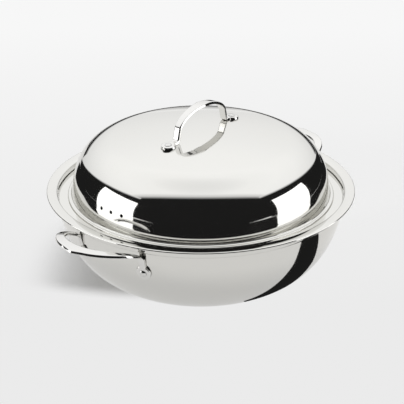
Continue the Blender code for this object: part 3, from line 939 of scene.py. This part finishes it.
def mirror_sheet(finish):
    """Mirror-polished drawn sheet: faint polishing lines, soft waves and light handling marks."""
    steel = Steel("mirror polished sheet", finish.sheet_roughness, part=0.75)
    cloud = steel.grain(scale=14.0, detail=3.0, rough=0.02)
    steel.lines(fineness=1400.0, rough=0.03, relief=0.0000004)
    steel.marks(scale=60.0, detail=4.0, start=0.58, full=0.72, rough=0.02)
    steel.grain(scale=22.0, detail=1.0, relief=0.00002)
    return steel.done(cloud, finish.sheet_colour, warmed(finish.sheet_colour, warmth=0.012))


def satin_sheet(finish):
    """The brushed inside of the sheets: rings left by the brush, with a soft sheen."""
    steel = Steel("brushed inside of the sheet", SATIN_ROUGHNESS)
    lines = steel.lines(fineness=2600.0, rough=0.1, relief=0.000004)
    steel.lines(fineness=300.0, rough=0.06, relief=0.000002)
    return steel.done(lines, [part * SATIN_SHADE for part in finish.sheet_colour], finish.sheet_colour)


def polished_casting(finish):
    """Hand-polished casting: soft hollows from the buffing wheel and a fine grain."""
    steel = Steel("hand polished casting", finish.cast_roughness, part=0.7)
    hollows = steel.grain(scale=110.0, rough=0.04, relief=0.00006)
    steel.grain(scale=1800.0, rough=0.02, relief=0.0000006)
    return steel.done(hollows, finish.cast_colour, warmed(finish.cast_colour, warmth=0.015))


def rivet_steel(finish):
    """Rivet steel: the mark of the closing tool and a fine grain."""
    steel = Steel("closed rivet steel", finish.rivet_roughness, part=0.7)
    grain = steel.grain(scale=900.0, detail=3.0, rough=0.08, relief=0.000002)
    steel.grain(scale=380.0, detail=1.0, relief=0.00004)
    return steel.done(grain, finish.rivet_colour, warmed(finish.rivet_colour, warmth=0.01))


STEELS = {"polished_sheet": mirror_sheet, "polished_casting": polished_casting, "rivet_steel": rivet_steel}


def shared_material(maker):
    """The material that a maker builds, made only once."""
    scene = bpy.context.scene
    key = maker.__name__
    found = bpy.data.materials.get(scene.get(key, ""))
    if found is None:
        found = maker(scene.wok_finish)
        scene[key] = found.name
    return found


def line_inside(piece, is_inside):
    """Gives the faces that the test picks the brushed steel."""
    piece.data.materials.append(shared_material(satin_sheet))
    for face in piece.data.polygons:
        if is_inside(face):
            face.material_index = 1


class WOK_OT_body(bpy.types.Operator):
    """Build the wok's drawn sheet"""

    bl_idname = "wok.body"
    bl_label = "Wok Sheet"

    def execute(self, context):
        shape = WokShape(context.scene)
        body = solid("wok_sheet", turned(sheet_outline(shape.body_line(), shape.wok.sheet)))
        cut_out(body, *rivet_holes(shape.rivet.shank, shape, rivet_seats(shape)))
        dress(body, "root", "polished_sheet", "wok_body")
        top = shape.ledge_top - shape.wok.sheet

        def is_inside(face):
            level = Vector((face.center.x, face.center.y, 0))
            inward = face.normal.dot(level) < 0 or face.normal.z > BOTTOM_RISE
            return face.center.z < top and inward

        line_inside(body, is_inside)
        return {"FINISHED"}


class WOK_OT_side_handles(bpy.types.Operator):
    """Build the two cast loop handles"""

    bl_idname = "wok.side_handles"
    bl_label = "Side Handles"

    def execute(self, context):
        shape = WokShape(context.scene)
        for label, turn in SIDES.items():
            handle = solid("cast_handle_" + label, side_handle_mesh(shape))
            handle.data.transform(Matrix.Rotation(turn, 4, "Z"))
            wall = trimming_shape(shape.outside_line(), -CUT_REACH, shape.rivet.clear)
            seats = [seat for seat in rivet_seats(shape) if seat[0].startswith(label)]
            cut_out(handle, wall, *rivet_holes(shape.rivet.shank, shape, seats))
            dress(handle, "root", "polished_casting", "side_handle_" + label)
        return {"FINISHED"}


class WOK_OT_handle_rivets(bpy.types.Operator):
    """Build the four rivets of the side handles"""

    bl_idname = "wok.handle_rivets"
    bl_label = "Handle Rivets"

    def execute(self, context):
        shape = WokShape(context.scene)
        made = add_rivets("domed_rivet_", "", shape, rivet_seats(shape), shape.handle, shape.wok)
        for end, rivet in made:
            dress(rivet, "root", "rivet_steel", "handle_rivet_" + end)
        return {"FINISHED"}


class WOK_OT_lid(bpy.types.Operator):
    """Build the lid's drawn sheet with its steam holes"""

    bl_idname = "wok.lid"
    bl_label = "Lid Sheet"

    def execute(self, context):
        shape = WokShape(context.scene)
        sizes = shape.lid
        lid = solid("lid_sheet", turned(sheet_outline(shape.lid_line(), sizes.sheet)))
        cutters = rivet_holes(shape.rivet.lid_shank, shape, lid_rivet_seats(shape))
        for number in range(sizes.vent_count):
            azimuth = sizes.vent_azimuth + (number - (sizes.vent_count - 1) / 2) * sizes.vent_step
            way = level_way(azimuth)
            seat = way * shape.lid_foot_radius + UP * (shape.lid_seat + sizes.vent_height)
            cutters.append(hole_cutter(sizes.vent_radius, seat, way))
        cut_out(lid, *cutters)
        dress(lid, "lid", "polished_sheet", "lid_shell")
        middle = UP * (shape.lid_seat - 2 * sizes.height)
        line_inside(lid, lambda face: face.normal.dot(face.center - middle) < 0)
        return {"FINISHED"}


class WOK_OT_lid_handle(bpy.types.Operator):
    """Build the cast arch on the lid"""

    bl_idname = "wok.lid_handle"
    bl_label = "Lid Handle"

    def execute(self, context):
        shape = WokShape(context.scene)
        crown = shape.lid.crown
        centre = Vector((0, shape.lid_top - crown))
        far = math.acos((shape.foot_centre + shape.arch.foot_radius + CUT_REACH) / crown)
        outside = arc(centre, crown, far, math.pi / 2, CROWN_STEPS)
        trim = trimming_shape(outside, shape.lid_top - shape.lid.shoulder, shape.rivet.clear)
        arch = solid("lid_arch", arch_mesh(shape))
        cut_out(arch, trim, *rivet_holes(shape.rivet.lid_shank, shape, lid_rivet_seats(shape)))
        dress(arch, "lid", "polished_casting", "lid_handle")
        return {"FINISHED"}


class WOK_OT_lid_rivets(bpy.types.Operator):
    """Build the two rivets of the lid's arch"""

    bl_idname = "wok.lid_rivets"
    bl_label = "Lid Rivets"

    def execute(self, context):
        shape = WokShape(context.scene)
        made = add_rivets("small_rivet_", "lid_", shape, lid_rivet_seats(shape), shape.arch, shape.lid)
        for end, rivet in made:
            dress(rivet, "lid", "rivet_steel", "lid_rivet_" + end)
        return {"FINISHED"}


class StudioFrame:
    """Places given as seen by the camera: right of it, toward it and up from the table."""

    def __init__(self, azimuth):
        self.right = level_way(azimuth)
        self.toward = level_way(azimuth - math.pi / 2)

    def at(self, right, toward, up):
        """A point of the table's frame."""
        return self.right * right + self.toward * toward + UP * up


def glowing(name, strength, edge_strength):
    """A plain glow for a studio card, which goes over to that of its edge as its tone attribute says."""
    material = bpy.data.materials.new(name)
    shader = ShaderTree(material)
    tone = shader.node("ShaderNodeAttribute", {"attribute_name": "tone"}, None, "Fac")
    glow = tone * (edge_strength - strength) + strength
    shader.surface(shader.node("ShaderNodeEmission", None, {"Color": glow}))
    return material


def add_card(name, rows, material):
    """A studio card of rows of points with a tone each. Only the steel sees it."""
    bm = bmesh.new()
    layer = bm.verts.layers.float.new("tone")
    made = []
    for points, tone in rows:
        made.append([bm.verts.new(point) for point in points])
        for vert in made[-1]:
            vert[layer] = tone
    bridge(bm, made, closed=False)
    mesh = bpy.data.meshes.new(name)
    bm.to_mesh(mesh)
    bm.free()
    mesh.materials.append(material)
    card = link(name, mesh)
    for rays in ("camera", "diffuse", "shadow", "transmission", "volume_scatter"):
        setattr(card, "visible_" + rays, False)


class WOK_OT_studio(bpy.types.Operator):
    """Build the floor, the lights and the camera"""

    bl_idname = "wok.studio"
    bl_label = "Studio"

    def execute(self, context):
        scene = context.scene
        studio = scene.wok_studio
        self.view = StudioFrame(studio.azimuth)
        self.add_floor(studio)
        self.add_sky(scene, studio)
        self.add_cards(studio)
        self.add_key(studio)
        self.add_camera(scene, studio)
        scene.view_settings.view_transform = "Standard"
        return {"FINISHED"}

    def add_floor(self, studio):
        """A wide plain floor. The camera sees the wok's shadow on it only on the left and behind."""
        bm = bmesh.new()
        bmesh.ops.create_circle(bm, cap_ends=True, segments=FLOOR_STEPS, radius=FLOOR_RADIUS)
        floor = solid("floor", bm)
        material = bpy.data.materials.new("pale floor")
        shader = ShaderTree(material)
        place = shader.node("ShaderNodeTexCoord", output="Object")
        right = shader.along(place, self.view.right)
        toward = shader.along(place, self.view.toward)
        camera = shader.rays("Camera")
        tint = shader.blend(camera, (*studio.mirrored_colour, 1.0), (*studio.floor_colour, 1.0))
        sockets = {"Base Color": tint, "Roughness": 1.0, "Specular IOR Level": 0.0}
        lit = shader.node("ShaderNodeBsdfPrincipled", None, sockets)
        glow = shader.spread(toward, (GLOW_NEAR, studio.floor_glow), (GLOW_FAR, studio.far_glow), "LINEAR")
        pale = shader.node("ShaderNodeEmission", None, {"Color": glow})
        shaded = 1.0
        for across, along, gone, whole in SHADOW_EDGES:
            shaded = shader.spread(right * across + toward * along, (gone, 0.0), (whole, 1.0)) * shaded
        lift = camera * (1.0 - shaded) + shader.rays("Glossy", "Transmission") * studio.floor_lift
        shader.surface(shader.node("ShaderNodeMixShader", None, {0: lift, 1: lit, 2: pale}))
        floor.data.materials.append(material)

    def add_sky(self, scene, studio):
        """Even light from all round, and the pale sky that the steel and the camera see."""
        scene.world = bpy.data.worlds.new("studio sky")
        shader = ShaderTree(scene.world)
        way = shader.node("ShaderNodeTexCoord", output="Generated")
        rise = shader.ramp(shader.split(way)[2], *SKY_TONES)
        sky = rise * studio.sky_strength - shader.along(way, self.view.toward) * SKY_SLOPE
        seen = shader.rays("Camera", "Glossy", "Transmission")
        strength = seen * (sky - studio.fill_strength) + studio.fill_strength
        background = shader.node("ShaderNodeBackground", None, {"Strength": strength})
        shader.surface(background, "ShaderNodeOutputWorld")

    def mirrored(self, turn, distance):
        """The place on the floor that the foot of the lid mirrors: a direction in degrees and a distance."""
        half = math.radians(turn) / 2
        right = MIRROR_RADIUS * math.sin(half) + distance * math.sin(2 * half)
        toward = MIRROR_RADIUS * math.cos(half) + distance * math.cos(2 * half)
        return self.view.at(right, toward, FLOOR_LIFT)

    def add_upright(self, cards, material):
        """Cards that stand on the floor."""
        for name, (tops, heights) in cards.items():
            rows = []
            for part, tone in heights:
                rows.append(([self.view.at(right, toward, top * part) for right, toward, top in tops], tone))
            add_card(name, rows, material)

    def add_mirrored(self, cards, material):
        """Cards that lie on the floor in an arc round the wok."""
        for name, (distances, turns) in cards.items():
            rows = [([self.mirrored(turn, distance) for turn in turns], tone) for distance, tone in distances]
            add_card(name, rows, material)

    def add_cards(self, studio):
        """Dark cards and white softboxes for the steel to mirror."""
        dark = glowing("dark card", studio.card_strength, studio.sky_strength * CARD_EDGE)
        self.add_upright(UPRIGHT_CARDS, dark)
        self.add_upright(SOFTBOXES, glowing("softbox", studio.box_strength, studio.card_strength))
        self.add_mirrored({"floor_apron": APRON, "back_floor": BACK_FLOOR}, dark)
        self.add_mirrored(MATS, glowing("softbox mat", studio.mat_strength, studio.floor_glow))
        lines = [([self.view.at(*place, FLOOR_LIFT) for place in line], 0) for line in STRIP]
        add_card("floor_strip", lines, dark)
        for name, edge in FLANKS.items():
            start = [self.mirrored(turn, FLANK_START) for turn, _ in edge]
            add_card(name, [(start, 0), ([self.mirrored(turn, far) for turn, far in edge], 0)], dark)

    def add_key(self, studio):
        """A soft key lamp overhead."""
        light = bpy.data.lights.new("key", "AREA")
        light.shape = "SQUARE"
        light.size = KEY_SIZE
        light.energy = studio.key_power
        key = link("key", light)
        key.location = self.view.at(*KEY_PLACE)
        key.rotation_euler = (-key.location).to_track_quat("-Z", "Y").to_euler()
        key.visible_glossy = False
        key.visible_camera = False

    def add_camera(self, scene, studio):
        """The camera at the photograph's place."""
        lens = bpy.data.cameras.new("camera")
        lens.lens = studio.lens
        lens.sensor_width = SENSOR_WIDTH
        lens.clip_start, lens.clip_end = CLIP_RANGE
        camera = link("camera", lens)
        level = self.view.toward * math.cos(studio.elevation)
        back = level + UP * math.sin(studio.elevation)
        camera.location = self.view.right * studio.aim_aside + UP * studio.aim_height + back * studio.distance
        camera.rotation_euler = (-back).to_track_quat("-Z", "Y").to_euler()
        scene.camera = camera


class WOK_PT_panel(bpy.types.Panel):
    """Lists the wok's sizes, finishes and the buttons that build its pieces"""

    bl_idname = "WOK_PT_panel"
    bl_label = "Lidded Wok"
    bl_space_type = "VIEW_3D"
    bl_region_type = "UI"
    bl_category = "Wok"

    def draw(self, context):
        for operator, group in (*STEPS, (None, "wok_finish")):
            box = self.layout.box()
            if group:
                settings = getattr(context.scene, group)
                for name in type(settings).__annotations__:
                    box.prop(settings, name)
            if operator:
                box.operator(operator.bl_idname)


GROUPS = {
    "wok_sheet": WokSheetSizes,
    "wok_lid": LidSheetSizes,
    "wok_side_handle": SideHandleSizes,
    "wok_lid_handle": LidHandleSizes,
    "wok_rivets": RivetSizes,
    "wok_finish": SteelFinish,
    "wok_studio": StudioSettings,
}
STEPS = (
    (WOK_OT_body, "wok_sheet"),
    (WOK_OT_side_handles, "wok_side_handle"),
    (WOK_OT_handle_rivets, "wok_rivets"),
    (WOK_OT_lid, "wok_lid"),
    (WOK_OT_lid_handle, "wok_lid_handle"),
    (WOK_OT_lid_rivets, None),
    (WOK_OT_studio, "wok_studio"),
)


def register():
    """Registers the settings, the operators and the panel."""
    for name, group in GROUPS.items():
        bpy.utils.register_class(group)
        setattr(bpy.types.Scene, name, bpy.props.PointerProperty(type=group))
    for operator, _ in STEPS:
        bpy.utils.register_class(operator)
    bpy.utils.register_class(WOK_PT_panel)


def unregister():
    """Takes back what register did."""
    bpy.utils.unregister_class(WOK_PT_panel)
    for operator, _ in reversed(STEPS):
        bpy.utils.unregister_class(operator)
    for name, group in GROUPS.items():
        delattr(bpy.types.Scene, name)
        bpy.utils.unregister_class(group)


def main():
    register()
    bpy.ops.wok.body()
    bpy.ops.wok.side_handles()
    bpy.ops.wok.handle_rivets()
    bpy.ops.wok.lid()
    bpy.ops.wok.lid_handle()
    bpy.ops.wok.lid_rivets()
    bpy.ops.wok.studio()


if __name__ == "__main__":
    main()
